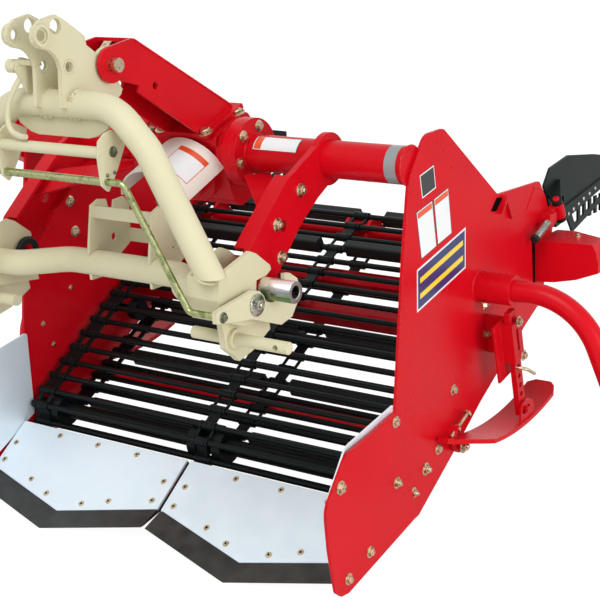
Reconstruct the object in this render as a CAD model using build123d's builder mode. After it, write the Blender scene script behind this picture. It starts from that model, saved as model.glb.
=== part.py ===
"""Tractor-mounted elevator potato digger with its quick coupler, in millimetres.

The machine faces -Y: two pointed shares lift the ridge, a bar web carries it up and
back between two side plates, and the crop falls off behind. It stands on its share
points and on two parking legs. Stations are measured rearward from the share points,
heights from the ground, and X is measured from the middle plane.
"""
import os
from math import atan2, cos, degrees, hypot, pi, radians, sin

from build123d import *

# ---------------------------------------------------------------- driving dimensions
TIP_Y = -520.0          # share points, in front of the origin
INSIDE_WIDTH = 950.0    # between the side plates
PLATE = 6.0             # side plate thickness
WEAR = 4.0              # inner wear plate thickness
RUNNING = 0.06          # radial clearance of what turns
SEAT = 0.3              # gap beside curved neighbours

HALF = INSIDE_WIDTH / 2
OUTER = HALF + PLATE    # outer face of a side plate
SIDES = (("left", -1), ("right", 1))

# cross tube and gearbox
TUBE_STATION, TUBE_HEIGHT = 302.0, 745.0
TUBE_R, TUBE_WALL = 35.0, 5.0
GEARBOX_HALF = 118.0    # from the middle plane to the flange faces

# web: six-tooth sprockets, so the pitch radius equals the bar pitch
WEB_FRONT = (263.0, 142.0)
STEEP_ANGLE, STEEP_STEPS = 33.5, 7      # top run from the front shaft to the carrying rollers
TOP_ANGLE, TOP_STEPS = 25.3, 9          # and on to the rear shaft
PITCH = 42.0
BAR_COUNT = 38
BAR_R = 6.0
CENTRE_ROW = 14.0       # middle of the centre link row
BAR_HALF = HALF - 13.0

# share
SHARE_ANGLE = 35.2
COVER_TIP = (51.0, 19.0)
SHARE_MID = (HALF - 1) / 2     # middle of each share from the middle plane
SHARE_HALF = SHARE_MID - 5.0   # half width of one share
COVER = 5.0
BLADE = 9.0

# hitch and coupler
PIN_STATION, PIN_HEIGHT = 54.0, 562.0
STRUT_X, STRUT = 290.0, 12.0
TOP_PIN = (18.0, 937.0)
ARCH_STATION, ARCH_TOP = -65.0, 878.0
COUPLER_R = 24.3

# skid, post and leg
SKID_PIVOT = (434.0, 172.0)
POST_TOP = (551.5, 422.0)
POST_ANGLE = 12.8
LEG = (546.0, 466.0)
LEG_R = 21.35
LEG_BEND_X, LEG_FOOT_X = OUTER + 213.6, OUTER + 332.0   # where the leg turns down, and where it stands
LEG_LOW = 187.0                         # height of the lower bend
LEG_BEND = 150.0


def side_plane(x):
    """Upright plane across the machine: local x runs rearward, local y is height."""
    return Plane(origin=(x, TIP_Y, 0), x_dir=(0, 1, 0), z_dir=(1, 0, 0))


def point(x, station, height):
    """Point in the machine's frame."""
    return Vector(x, TIP_Y + station, height)


def rod(start, end, radius):
    """Round bar between two points, added to the part being built."""
    axis = end - start
    with BuildSketch(Plane(origin=start, z_dir=axis)) as profile:
        Circle(radius)
    extrude(profile.sketch, amount=axis.length)


def save(builder, name):
    """Label a finished piece and write its STEP file."""
    builder.part.label = name
    export_step(builder.part, f"parts/{name}.step")


os.makedirs("parts", exist_ok=True)

# ------------------------------------------------------------------ side plates
# station, height, corner radius
SIDE_OUTLINE = (
    (60, 46, 0.1), (60, 268, 0.1), (225, 306, 0.1), (262, 580, 200), (286, 724, 90),
    (345, 795, 35), (410, 797, 22), (621, 636, 30), (808, 630, 14), (838, 590, 12),
    (873, 516, 6), (822, 368, 6), (745, 332, 12), (548, 224, 60), (441, 156, 60),
    (300, 72, 8),
)
FRONT_OUTLINE = (
    (216, 308, 3), (137, 294, 30), (52, 283, 30), (-14, 205, 45), (-8, 128, 30),
    (8, 40, 10), (24, 26, 8), (48, 23, 6), (286, 78, 6),
)
WEAR_OUTLINE = (
    (232, 132, 3), (232, 318, 6), (70, 290, 30), (10, 212, 30), (14, 130, 10),
    (34, 62, 10), (90, 62, 10),
)


def outline(table):
    """Closed outline with rounded corners, from a table of station, height, radius."""
    points = [(row[0], row[1]) for row in table]
    radii = [row[2] for row in table]
    FilletPolyline(*points, radius=radii, close=True)


for side, s in SIDES:
    with BuildPart() as side_plate:
        with BuildSketch(side_plane(s * HALF)):
            with BuildLine():
                outline(SIDE_OUTLINE)
            make_face()
            with Locations((614, 612)):
                SlotOverall(26, 10, rotation=35, mode=Mode.SUBTRACT)
            with Locations((640, 602)):
                Circle(5, mode=Mode.SUBTRACT)
        extrude(amount=s * PLATE)
    save(side_plate, f"side_plate_{side}")

with BuildPart() as front_plates:
    for s in (-1, 1):
        with BuildSketch(side_plane(s * OUTER)):
            with BuildLine():
                outline(FRONT_OUTLINE)
            make_face()
        extrude(amount=s * PLATE)
save(front_plates, "front_plates")

with BuildPart() as wear_plates:
    for s in (-1, 1):
        with BuildSketch(side_plane(s * (HALF - WEAR))):
            with BuildLine():
                outline(WEAR_OUTLINE)
            make_face()
        extrude(amount=s * WEAR)
save(wear_plates, "wear_plates")

# ------------------------------------------------------------------ shares
EDGE_BACK, EDGE_UP = 50.0, 35.0     # how far the V's outer corners lie back and up
SLOPE = hypot(EDGE_BACK, EDGE_UP)
COVER_LONG = 182.0                  # from the point to the rear edge, up the slope
# lip profile, from the cutting edge: station, height
LIP = ((0, 0), (49.5, 18), (53.4, 14.4), (60.2, 19.0), (65, 12.0), (8, 0))


def share_plane(x, lift=0.0):
    """Plane of the share cover's top face: local y runs up the slope."""
    a = radians(SHARE_ANGLE)
    return Plane(origin=point(x, *COVER_TIP), x_dir=(1, 0, 0), z_dir=(0, -sin(a), cos(a))).offset(lift)


def share_outline(inset):
    """Arrow-pointed outline of one share half."""
    rear = COVER_LONG
    half = SHARE_HALF
    Polygon((0, inset), (half, SLOPE + inset), (half, rear), (-half, rear), (-half, SLOPE + inset), align=None)


for side, s in SIDES:
    with BuildPart() as share_cover:
        with BuildSketch(share_plane(s * SHARE_MID)):
            share_outline(0)
        extrude(amount=-COVER)
    save(share_cover, f"share_cover_{side}")

    with BuildPart() as share_blade:
        with BuildSketch(share_plane(s * SHARE_MID, -COVER)):
            share_outline(8)
        extrude(amount=-BLADE)
        for flank in (-1, 1):
            with BuildSketch(side_plane(s * SHARE_MID + flank * SHARE_HALF)) as lip:
                Polygon(*[(u + EDGE_BACK, v + EDGE_UP) for u, v in LIP], align=None)
            reach = Vector(-flank * SHARE_HALF, -EDGE_BACK, -EDGE_UP)
            extrude(lip.sketch, amount=reach.length, dir=reach)
    save(share_blade, f"share_blade_{side}")

with BuildPart() as share_beam:
    with BuildSketch(share_plane(0, -COVER - BLADE)):
        with Locations((0, 128)):
            Rectangle(2 * (HALF - WEAR) - 1, 62)
    extrude(amount=-38)
save(share_beam, "share_beam")

# ------------------------------------------------------------------ cross tubes
FLANGE_IN, FLANGE_R, FLANGE = 100.0, 66.0, 12.0
with BuildPart() as cross_tubes:
    for s in (-1, 1):
        with BuildSketch(side_plane(s * (GEARBOX_HALF))):
            with Locations((TUBE_STATION, TUBE_HEIGHT)):
                Circle(FLANGE_R)
        extrude(amount=s * FLANGE)
        with BuildSketch(side_plane(s * (GEARBOX_HALF + FLANGE))):
            with Locations((TUBE_STATION, TUBE_HEIGHT)):
                Circle(TUBE_R)
                Circle(TUBE_R - TUBE_WALL, mode=Mode.SUBTRACT)
        extrude(amount=s * (HALF - GEARBOX_HALF - FLANGE))
save(cross_tubes, "cross_tubes")

# ------------------------------------------------------------------ gearbox and input
INPUT_ANGLE = 21.8
INPUT_REAR = (272.5, 694.7)         # on the input axis, where the guard begins
SHAFT_R = 17.5
BOX_TOP = 84.0                      # gearbox top above the input axis
input_dir = Vector(0, -cos(radians(INPUT_ANGLE)), -sin(radians(INPUT_ANGLE)))


def input_plane(forward):
    """Plane square to the input shaft, so far forward of the guard's rear end."""
    start = point(0, *INPUT_REAR) + input_dir * forward
    return Plane(origin=start, x_dir=(1, 0, 0), z_dir=input_dir)


def box_plane(x):
    """Side plane turned with the input shaft: local x runs rearward along it, local y square."""
    return Plane(origin=point(x, *INPUT_REAR), x_dir=-input_dir, z_dir=(1, 0, 0))


# gearbox casting, along the input axis from the guard's rear end: back, up, radius
CASTING = (
    (8, BOX_TOP, 10), (118, BOX_TOP, 16), (132, 40, 18), (132, -50, 22), (104, -80, 20), (22, -76, 14),
    (8, -55, 8),
)
with BuildPart() as gearbox:
    with BuildSketch(box_plane(-74)):
        with BuildLine():
            outline(CASTING)
        make_face()
    extrude(amount=148)
    for s in (-1, 1):
        with BuildSketch(side_plane(s * 70)):
            with Locations((TUBE_STATION, TUBE_HEIGHT)):
                Circle(TUBE_R + 12)
        extrude(amount=s * (FLANGE_IN - 70))
        with BuildSketch(side_plane(s * FLANGE_IN)):
            with Locations((TUBE_STATION, TUBE_HEIGHT)):
                Circle(FLANGE_R)
        extrude(amount=s * (GEARBOX_HALF - FLANGE_IN))
    with BuildSketch(input_plane(-10)):
        Circle(52)
    extrude(amount=18)
    with BuildSketch(input_plane(8)):
        Circle(36)
    extrude(amount=24)
    with BuildSketch(input_plane(-10)):
        Circle(SHAFT_R + RUNNING)
    extrude(amount=60, mode=Mode.SUBTRACT)
save(gearbox, "gearbox")

with BuildPart() as pto_shaft:
    with BuildSketch(input_plane(-10)):
        Circle(SHAFT_R)
    extrude(amount=40)
    with BuildSketch(input_plane(30)):
        Circle(SHAFT_R - 0.5)
        with PolarLocations(SHAFT_R - 0.5, 6):
            Rectangle(4.6, 8.6, mode=Mode.SUBTRACT)
    extrude(amount=76)
    with BuildSketch(input_plane(84)):
        Circle(SHAFT_R + 2)
        Circle(SHAFT_R - 3.4, mode=Mode.SUBTRACT)
    extrude(amount=7, mode=Mode.SUBTRACT)
save(pto_shaft, "pto_shaft")

GUARD_R, GUARD_WALL, GUARD_LONG = 86.0, 3.0, 122.0
GUARD_EDGE = 25.0                   # its long edges above the input axis
with BuildPart() as pto_guard:
    with BuildSketch(input_plane(0)):
        Circle(GUARD_R)
        Circle(GUARD_R - GUARD_WALL, mode=Mode.SUBTRACT)
        with Locations((0, GUARD_EDGE)):
            Rectangle(3 * GUARD_R, 3 * GUARD_R, align=(Align.CENTER, Align.MAX), mode=Mode.SUBTRACT)
    extrude(amount=GUARD_LONG)
    with BuildSketch(input_plane(0)):
        Circle(GUARD_R - GUARD_WALL)
        Circle(36 + SEAT, mode=Mode.SUBTRACT)
        with Locations((0, GUARD_EDGE)):
            Rectangle(3 * GUARD_R, 3 * GUARD_R, align=(Align.CENTER, Align.MAX), mode=Mode.SUBTRACT)
    extrude(amount=GUARD_WALL)
    add(gearbox.part, mode=Mode.SUBTRACT)
save(pto_guard, "pto_guard")

# ------------------------------------------------------------------ upper arm
ARM_OUT, ARM_PLATE, ARM_FOOT = 45.0, 6.0, 10.0
EYE_R = 32.0
PIN_FIT = 12.5 + RUNNING
ARM_SIDE = (
    (18, 937), (12, 968), (74, 978), (345, 825), (243, 782), (79, 882), (83, 894), (40, 906),
)
with BuildPart() as upper_arm:
    for s in (-1, 1):
        with BuildSketch(side_plane(s * ARM_OUT)):
            Polygon(*ARM_SIDE, align=None)
            with Locations(TOP_PIN):
                Circle(EYE_R)
                Circle(PIN_FIT, mode=Mode.SUBTRACT)
            with Locations((126, 889)):
                Circle(7, mode=Mode.SUBTRACT)
        extrude(amount=-s * ARM_PLATE)
    with BuildSketch(side_plane(-ARM_OUT)):
        Polygon((74, 978), (345, 825), (342, 819.5), (74, 971), align=None)
    extrude(amount=2 * ARM_OUT)
    with BuildSketch(box_plane(-62)):
        Polygon((4, BOX_TOP), (4, BOX_TOP + ARM_FOOT), (126, BOX_TOP + ARM_FOOT), (126, BOX_TOP), align=None)
    extrude(amount=124)
    with BuildSketch(box_plane(-ARM_OUT - 1)):
        Polygon((-10, BOX_TOP), (240, BOX_TOP), (240, BOX_TOP - 60), (-10, BOX_TOP - 60), align=None)
    extrude(amount=2 * ARM_OUT + 2, mode=Mode.SUBTRACT)
save(upper_arm, "upper_arm")

with BuildPart() as top_pin:
    with BuildSketch(side_plane(-62)):
        with Locations(TOP_PIN):
            Circle(12.5)
    extrude(amount=124)
    with BuildSketch(side_plane(-ARM_OUT)):
        with Locations(TOP_PIN):
            Circle(19)
    extrude(amount=-7)
save(top_pin, "top_pin")

# ------------------------------------------------------------------ hitch struts
PIN_R, PIN_BORE = 19.0, 11.5
PIN_OUT = 392.0                     # outer end of the hollow lower pin
STRUT_SIDE = (
    (172, 731), (154, 719), (49, 629), (33, 596), (29, 560), (54, 536), (92, 545), (125, 564),
    (201, 640), (259, 680), (293, 710),
)
FRONT_FLANGE = ((176, 735), (154, 719), (49, 629), (53, 624), (158, 714), (180, 729))
REAR_FLANGE = ((296, 707), (240, 687), (201, 661), (128, 595), (132, 590), (205, 655), (243, 681), (298, 701))
# brace from under the cross tube to the strut: each end's middle and its long half, X, station, height
BRACE = (((151, 276, 707), (19, 17, 0)), ((STRUT_X + 3, 131, 678), (0, 22, 23)))
for side, s in SIDES:
    with BuildPart() as strut:
        with BuildSketch(side_plane(s * STRUT_X)):
            Polygon(*STRUT_SIDE, align=None)
            with Locations((TUBE_STATION, TUBE_HEIGHT)):
                Circle(TUBE_R + 14)
            with BuildLine():
                Polyline((172, 731), (262, 774), (303, 703), (259, 680), (172, 731))
            make_face()
            with Locations((PIN_STATION, PIN_HEIGHT)):
                Circle(26)
            with Locations((TUBE_STATION, TUBE_HEIGHT)):
                Circle(TUBE_R + SEAT, mode=Mode.SUBTRACT)
            with Locations((150, 650)):
                Circle(11, mode=Mode.SUBTRACT)
        extrude(amount=s * STRUT)
        for edge in (FRONT_FLANGE, REAR_FLANGE):
            with BuildSketch(side_plane(s * (STRUT_X - 22))):
                Polygon(*edge, align=None)
            extrude(amount=s * (STRUT + 22))
        with BuildSketch(side_plane(s * (STRUT_X - 24))):
            with Locations((PIN_STATION, PIN_HEIGHT)):
                Circle(PIN_R)
        extrude(amount=s * (PIN_OUT - STRUT_X + 24))
        with BuildSketch(side_plane(s * (STRUT_X - 24))):
            with Locations((PIN_STATION, PIN_HEIGHT)):
                Circle(PIN_BORE)
        extrude(amount=s * (PIN_OUT - STRUT_X + 24), mode=Mode.SUBTRACT)
        reach = point(s * BRACE[1][0][0], *BRACE[1][0][1:]) - point(s * BRACE[0][0][0], *BRACE[0][0][1:])
        for middle, half in BRACE:
            across = Vector(s * half[0], half[1], half[2])
            with BuildSketch(Plane(origin=point(s * middle[0], *middle[1:]), x_dir=across,
                                   z_dir=across.cross(reach).cross(across) * -1)):
                Rectangle(2 * across.length, 6)
        loft(ruled=True)
    save(strut, f"hitch_strut_{side}")

# ------------------------------------------------------------------ web
def heading(angle):
    """Unit step rearward and up at an angle, as station and height."""
    return cos(radians(angle)), sin(radians(angle))


def step(start, angle, ahead, rise=0.0):
    """Point so far along a run at an angle, and so far square above it."""
    c, d = heading(angle)
    return start[0] + ahead * c - rise * d, start[1] + ahead * d + rise * c


def on_wheel(centre, angle):
    """Point on a sprocket's pitch circle, the angle measured from rearward, upward."""
    c, d = heading(angle)
    return centre[0] + PITCH * c, centre[1] + PITCH * d


STEEP_START = step(WEB_FRONT, STEEP_ANGLE, 0, PITCH)
BEND = step(STEEP_START, STEEP_ANGLE, STEEP_STEPS * PITCH)
TOP_END = step(BEND, TOP_ANGLE, TOP_STEPS * PITCH)
WEB_REAR = step(TOP_END, TOP_ANGLE, 0, -PITCH)
LOW_ANGLE = degrees(atan2(WEB_REAR[1] - WEB_FRONT[1], WEB_REAR[0] - WEB_FRONT[0]))
REAR_TURN = 180 - LOW_ANGLE + TOP_ANGLE         # degrees the web turns on each shaft
FRONT_TURN = 180 + STEEP_ANGLE - LOW_ANGLE
REAR_STEPS, FRONT_STEPS = REAR_TURN / 60, FRONT_TURN / 60
LOW_STEPS = BAR_COUNT - STEEP_STEPS - TOP_STEPS - REAR_STEPS - FRONT_STEPS
LOW_SAG = 14.0
BAR_PHASE = 0.3


def web_at(n):
    """Station and height of the web's bar line, n bar pitches along from the front shaft's top."""
    n = n % BAR_COUNT
    if n <= STEEP_STEPS:
        return step(STEEP_START, STEEP_ANGLE, n * PITCH)
    n = n - STEEP_STEPS
    if n <= TOP_STEPS:
        return step(BEND, TOP_ANGLE, n * PITCH)
    n = n - TOP_STEPS
    if n <= REAR_STEPS:
        return on_wheel(WEB_REAR, TOP_ANGLE + 90 - 60 * n)
    n = n - REAR_STEPS
    if n <= LOW_STEPS:
        share = n / LOW_STEPS
        a = on_wheel(WEB_REAR, LOW_ANGLE - 90)
        b = on_wheel(WEB_FRONT, LOW_ANGLE - 90)
        drop = LOW_SAG * 4 * share * (1 - share)
        return a[0] + (b[0] - a[0]) * share, a[1] + (b[1] - a[1]) * share - drop
    n = n - LOW_STEPS
    return on_wheel(WEB_FRONT, LOW_ANGLE - 90 - 60 * n)


bars = [web_at(i + BAR_PHASE) for i in range(BAR_COUNT)]
with BuildPart() as web_bars:
    with BuildSketch(side_plane(-BAR_HALF)):
        with Locations(*bars):
            Circle(BAR_R)
    extrude(amount=2 * BAR_HALF)
save(web_bars, "web_bars")

FLIGHTS = (13, 17, 21, 25, 29, 33)      # bars that carry a flight
FLIGHT_IN, FLIGHT_OUT, FLIGHT_HIGH, FLIGHT_DEEP = 37.0, 398.0, 17.0, 24.0
link_places = []
link_gaps = []
for i in range(BAR_COUNT):
    a, b = bars[i], bars[(i + 1) % BAR_COUNT]
    link_gaps.append(hypot(b[0] - a[0], b[1] - a[1]) - 2 * BAR_R)
    turn = degrees(atan2(b[1] - a[1], b[0] - a[0]))
    link_places.append(Location(((a[0] + b[0]) / 2, (a[1] + b[1]) / 2, 0), (0, 0, turn)))
with BuildPart() as web_flights:
    for start, end in ((-FLIGHT_OUT, CENTRE_ROW - FLIGHT_IN), (CENTRE_ROW + FLIGHT_IN, FLIGHT_OUT)):
        with BuildSketch(side_plane(start)):
            for i in FLIGHTS:
                a, b = bars[i - 1], bars[i + 1]
                turn = degrees(atan2(b[1] - a[1], b[0] - a[0]))
                with Locations(Location((*bars[i], 0), (0, 0, turn))):
                    with Locations((0, FLIGHT_HIGH / 2 - 2)):
                        RectangleRounded(FLIGHT_DEEP, FLIGHT_HIGH + 2 * BAR_R + 4, 5)
                    Circle(BAR_R, mode=Mode.SUBTRACT)
        extrude(amount=end - start)
save(web_flights, "web_flights")

LINK_T = 4.0
SIDE_ROW = BAR_HALF - 24.0
# middle of the row, half width of its outer strips' middle, strip width, wide plate
LINK_ROWS = ((CENTRE_ROW, 17.0, 6.0, 26.0), (-SIDE_ROW, 15.0, 11.0, 40.0), (SIDE_ROW, 15.0, 11.0, 40.0))
with BuildPart() as web_links:
    for row, out, strip, wide in LINK_ROWS:
        for shift, width, first in ((0.0, wide, 0), (-out, strip, 1), (out, strip, 1)):
            with BuildSketch(side_plane(row + shift - width / 2)):
                with Locations(*link_places[first::2]):
                    Rectangle(min(link_gaps) - 0.4, LINK_T)
            extrude(amount=width)
save(web_links, "web_links")

SPROCKET = 8.0
SPROCKET_ROWS = (CENTRE_ROW - 30.0, CENTRE_ROW + 30.0, -SIDE_ROW + 32, SIDE_ROW - 32)
SHAFT_SPAN = HALF - 1.0
with BuildPart() as rear_shaft:
    with BuildSketch(side_plane(-SHAFT_SPAN)):
        with Locations(WEB_REAR):
            Circle(17)
    extrude(amount=2 * SHAFT_SPAN)
    with BuildSketch(side_plane(CENTRE_ROW - 22)):
        with Locations(WEB_REAR):
            Circle(PITCH - BAR_R - 4)
    extrude(amount=44)
    for row in SPROCKET_ROWS:
        with BuildSketch(side_plane(row - SPROCKET / 2)):
            with Locations(WEB_REAR):
                Circle(PITCH - 2)
            for k in range(6):
                with Locations(on_wheel(WEB_REAR, TOP_ANGLE + 90 - 60 * (k + BAR_PHASE))):
                    Circle(BAR_R + SEAT + 2.5, mode=Mode.SUBTRACT)
        extrude(amount=SPROCKET)
save(rear_shaft, "rear_shaft")

CARRIER_R = 24.0
CARRIER = step(BEND, (STEEP_ANGLE + TOP_ANGLE) / 2, 0, -BAR_R - CARRIER_R - SEAT)
SPOOL = 22.0
with BuildPart() as web_rollers:
    for centre, tube_r, wheel_r, rows in (
        (WEB_FRONT, 17.0, PITCH - BAR_R - SEAT, (CENTRE_ROW - 32.0, CENTRE_ROW + 32.0, -SIDE_ROW + 32, SIDE_ROW - 32)),
        (CARRIER, 9.0, CARRIER_R, (-SIDE_ROW + 48, SIDE_ROW - 48)),
    ):
        with BuildSketch(side_plane(-HALF + WEAR + 1)):
            with Locations(centre):
                Circle(tube_r)
        extrude(amount=2 * (HALF - WEAR - 1))
        for row in rows:
            with BuildSketch(side_plane(row - SPOOL / 2)):
                with Locations(centre):
                    Circle(wheel_r)
            extrude(amount=SPOOL)
save(web_rollers, "web_rollers")

# crossbars: station, height, length along the web, thickness square to it
CROSSBARS = ((455, 170, 44, 8), (585, 350, 46, 30), (700, 388, 40, 30))
with BuildPart() as crossbars:
    for station, height, long, thick in CROSSBARS:
        with BuildSketch(side_plane(-HALF)):
            with Locations(Location((station, height, 0), (0, 0, LOW_ANGLE))):
                Rectangle(long, thick)
        extrude(amount=2 * HALF)
save(crossbars, "crossbars")

# ------------------------------------------------------------------ drive covers
with BuildPart() as chain_case:
    with BuildSketch(side_plane(-OUTER)):
        with Locations((TUBE_STATION, TUBE_HEIGHT)):
            Circle(54)
        with Locations(WEB_REAR):
            Circle(38)
        make_hull()
    extrude(amount=-46)
save(chain_case, "chain_case")

# front view of the cover, distance out from the wall and height; then its plan with the clipped
# corner, distance out and station
COVER_FRONT = ((0, 508), (130, 511), (139, 494), (148, 453), (94, 432), (44, 421), (0, 417))
COVER_PLAN = ((-11, 789), (144, 789), (144, 803), (122, 855), (42, 898), (-11, 898))
with BuildPart() as shaft_cover:
    with BuildSketch(Plane(origin=point(0, 780, 0), x_dir=(1, 0, 0), z_dir=(0, 1, 0))):
        Polygon(*[(OUTER + x, -z) for x, z in COVER_FRONT], align=None)
    extrude(amount=130)
    with BuildSketch(Plane.XY):
        Polygon(*[(OUTER + x, TIP_Y + y) for x, y in COVER_PLAN], align=None)
    extrude(amount=600, mode=Mode.INTERSECT)
save(shaft_cover, "shaft_cover")

# ------------------------------------------------------------------ coupler
MAST_X, MAST = 25.5, 9.0
MAST_SIDE = (
    (-99, 876), (-96, 908), (-94, 940), (-98, 955), (-106, 966), (-117, 974), (-140, 980),
    (-150, 989), (-152, 1000), (-148, 1013), (-129, 1025), (-97, 1031), (-81, 1023), (-58, 1008),
    (-33, 991), (-30, 975), (-14, 964), (18, 937), (51, 891), (46, 882), (28, 870), (-41, 866),
)
MAST_HOLES = ((-134, 1000), (-99, 1012), (-75, 943))
HOLE_R = 12.7
with BuildPart() as coupler_arch:
    with BuildLine() as arch:
        FilletPolyline(
            point(-322, ARCH_STATION, 581), point(-190, ARCH_STATION, 810), point(-120, ARCH_STATION, ARCH_TOP),
            point(120, ARCH_STATION, ARCH_TOP), point(190, ARCH_STATION, 810), point(322, ARCH_STATION, 581),
            radius=90,
        )
    with BuildSketch(Plane(origin=arch.line @ 0, z_dir=arch.line % 0)):
        Circle(COUPLER_R)
    sweep(path=arch.line)
    with Locations((0, TIP_Y + ARCH_STATION, 0)):
        Box(900, 200, 606, align=(Align.CENTER, Align.CENTER, Align.MIN), mode=Mode.SUBTRACT)
    with BuildSketch(Plane(origin=point(0, ARCH_STATION + 3, 0), x_dir=(1, 0, 0), z_dir=(0, -1, 0))):
        with BuildLine():
            Polyline((116, 862), (104, 840), (78, 826), (60, 822), (-60, 822), (-78, 826), (-104, 840),
                     (-116, 862), (116, 862))
        make_face()
    extrude(amount=6)
save(coupler_arch, "coupler_arch")

with BuildPart() as mast_plates:
    for s in (-1, 1):
        with BuildSketch(side_plane(s * MAST_X)):
            Polygon(*MAST_SIDE, align=None)
            with Locations(TOP_PIN):
                Circle(30)
            with Locations(*MAST_HOLES):
                Circle(HOLE_R, mode=Mode.SUBTRACT)
            with Locations(TOP_PIN):
                Circle(PIN_FIT, mode=Mode.SUBTRACT)
        extrude(amount=s * MAST)
        with BuildSketch(side_plane(s * (MAST_X + MAST))):
            with Locations(MAST_HOLES[0]):
                Circle(HOLE_R + 6)
                Circle(HOLE_R, mode=Mode.SUBTRACT)
        extrude(amount=s * 4)
    add(coupler_arch.part, mode=Mode.SUBTRACT)
save(mast_plates, "mast_plates")

BOX_IN, BOX_OUT, BOX_WALL = 258.0, 326.0, 8.0
LINK_X, LINK_PLATE = 294.0, 12.0
with BuildPart() as coupler_tube:
    with BuildLine() as lower:
        FilletPolyline(
            point(-BOX_IN, -12, 560), point(-205, -12, 560), point(-140, 60, 560), point(140, 60, 560),
            point(205, -12, 560), point(BOX_IN, -12, 560), radius=50,
        )
    with BuildSketch(Plane(origin=lower.line @ 0, z_dir=lower.line % 0)):
        Circle(COUPLER_R)
    sweep(path=lower.line)
save(coupler_tube, "coupler_tube")

# side box: notch for the hitch strut's pin opens rearward and up
BOX_SIDE = (
    (20, 634), (36, 627), (74, 598), (76, 590), (62, 582), (34, 580), (31, 560), (40, 544), (54, 538),
    (80, 545), (84, 500), (40, 505), (-6, 515), (-60, 536), (-73, 569), (-67, 605), (-50, 615),
)
LINK_SIDE = ((-45, 545), (-41, 519), (-35, 472), (-8, 450), (1, 441), (39, 449), (92, 475), (84, 530), (40, 532))
PIN_LINK = (-12.0, 485.0)           # lower link pin
LINK_R = 11.0
for side, s in SIDES:
    with BuildPart() as side_box:
        for x in (BOX_IN, BOX_OUT - BOX_WALL):
            with BuildSketch(side_plane(s * x)):
                Polygon(*BOX_SIDE, align=None)
            extrude(amount=s * BOX_WALL)
        with BuildSketch(side_plane(s * BOX_IN)):
            Polygon((-73, 569), (-67, 605), (-20, 606), (-20, 598), (-58, 598), (-64, 569), (-52, 537),
                    (-2, 517), (40, 512), (40, 505), (-6, 508), (-60, 529), align=None)
        extrude(amount=s * (BOX_OUT - BOX_IN))
        with BuildSketch(side_plane(s * LINK_X)):
            Polygon(*LINK_SIDE, align=None)
            with Locations(PIN_LINK):
                Circle(LINK_R, mode=Mode.SUBTRACT)
        extrude(amount=s * LINK_PLATE)
        add(coupler_arch.part, mode=Mode.SUBTRACT)
    save(side_box, f"side_box_{side}")

LINK_IN, LINK_OUT = 219.0, 423.0
with BuildPart() as link_pins:
    for s in (-1, 1):
        with BuildSketch(side_plane(s * LINK_IN)):
            with Locations(PIN_LINK):
                Circle(LINK_R)
        extrude(amount=s * (LINK_OUT - LINK_IN))
        with BuildSketch(side_plane(s * (LINK_X + LINK_PLATE))):
            with Locations(PIN_LINK):
                Circle(LINK_R + 7)
        extrude(amount=s * 7)
        with BuildSketch(Plane(origin=point(s * 402, PIN_LINK[0] - 20, PIN_LINK[1]), x_dir=(1, 0, 0), z_dir=(0, 1, 0))):
            Circle(5)
        extrude(amount=40, mode=Mode.SUBTRACT)
save(link_pins, "link_pins")

HOOK_IN, HOOK = 336.0, 8.0
HOOK_SIDE = (
    (-102, 558), (-83, 562), (-1, 572), (18, 567), (29, 556), (34, 545), (50, 539), (72, 540), (86, 550),
    (89, 570), (90, 581), (105, 579), (128, 564), (133, 541), (125, 520), (108, 499), (75, 492),
    (-6, 523), (-54, 530), (-101, 539),
)
HOOK_PIVOT = (8.0, 545.0)
with BuildPart() as lock_hooks:
    for s in (-1, 1):
        with BuildSketch(side_plane(s * HOOK_IN)):
            Polygon(*HOOK_SIDE, align=None)
        extrude(amount=s * HOOK)
        with BuildSketch(side_plane(s * (BOX_OUT + 0.5))):
            with Locations(HOOK_PIVOT):
                Circle(14)
        extrude(amount=s * (HOOK_IN - BOX_OUT - 0.5))
save(lock_hooks, "lock_hooks")

LEVER_X, LEVER = 116.0, 6.0
LEVER_SIDE = (
    (-76, 841), (-42, 826), (-44, 818), (-64, 782), (-84, 752), (-94, 740), (-108, 752), (-112, 800), (-108, 826),
    (-92, 838),
)
SPINDLE, DRAW_ROD = (-100.0, 806.0), (-100.0, 757.0)
with BuildPart() as lock_linkage:
    with BuildSketch(side_plane(-LEVER_X)):
        with Locations(SPINDLE):
            Circle(10)
    extrude(amount=2 * LEVER_X)
    for s in (-1, 1):
        with BuildSketch(side_plane(s * LEVER_X)):
            Polygon(*LEVER_SIDE, align=None)
        extrude(amount=s * LEVER)
save(lock_linkage, "lock_linkage")

with BuildPart() as lock_rods:
    with BuildSketch(side_plane(-LEVER_X)):
        with Locations(DRAW_ROD):
            Circle(7)
    extrude(amount=2 * LEVER_X)
    for s in (-1, 1):
        with BuildLine() as pull:
            FilletPolyline(
                point(s * (LEVER_X + 1), -98, 757), point(s * 158, -98, 757), point(s * 273, -84, 546),
                point(s * (HOOK_IN - SEAT), -84, 546), radius=14,
            )
        with BuildSketch(Plane(origin=pull.line @ 0, z_dir=pull.line % 0)):
            Circle(6)
        sweep(path=pull.line)
    add(lock_linkage.part, mode=Mode.SUBTRACT)
save(lock_rods, "lock_rods")

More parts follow.
